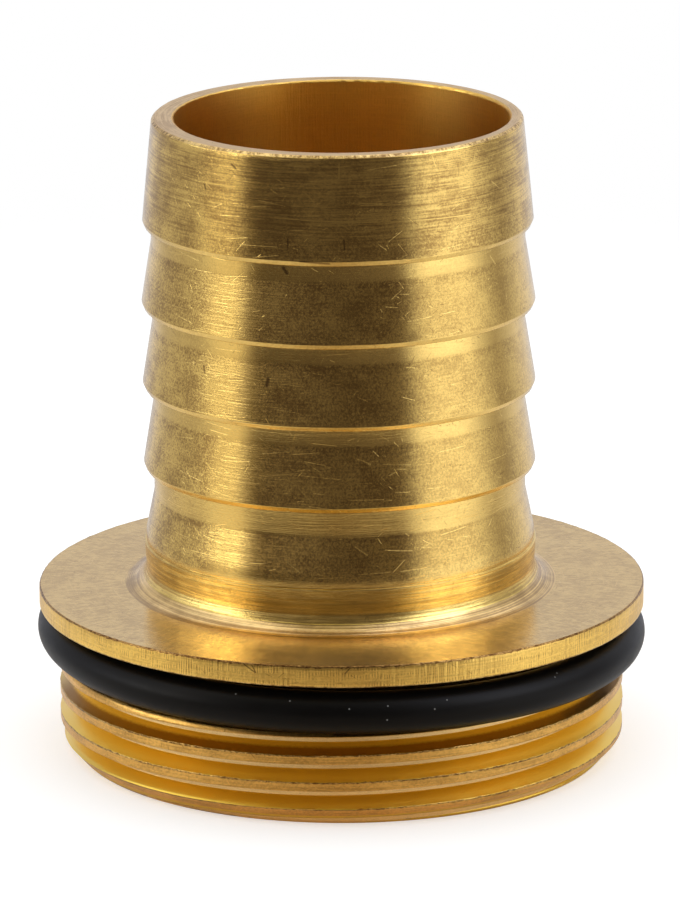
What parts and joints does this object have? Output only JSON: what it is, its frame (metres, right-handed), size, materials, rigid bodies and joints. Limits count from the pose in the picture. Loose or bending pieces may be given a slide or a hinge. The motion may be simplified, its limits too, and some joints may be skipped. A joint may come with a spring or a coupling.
{
  "type": "threaded hose connector",
  "caption": "Turned brass hose connector with a barbed hose tail, a thin round flange, a parallel pipe thread and a rubber O-ring.",
  "frame": {"origin": "centre of the flat end of the thread, on the thread's axis, which is the bottom centre of the part", "axes": "+Z along the thread's axis, from the threaded end to the lip of the hose tail; +X to the right and -Y to the viewer in the picture; the tail leans 0.4 degrees to -X"},
  "size_m": [0.0514, 0.0514, 0.0546],
  "materials": {
    "brass": "turned brass, used: bright on the thread and flange, dark tarnish and scratches on the barbs",
    "rubber": "black rubber with a dull sheen and a little dust"
  },
  "bodies": {
    "root": {"connector_body": "brass", "o_ring": "rubber"}
  },
  "joints": []
}
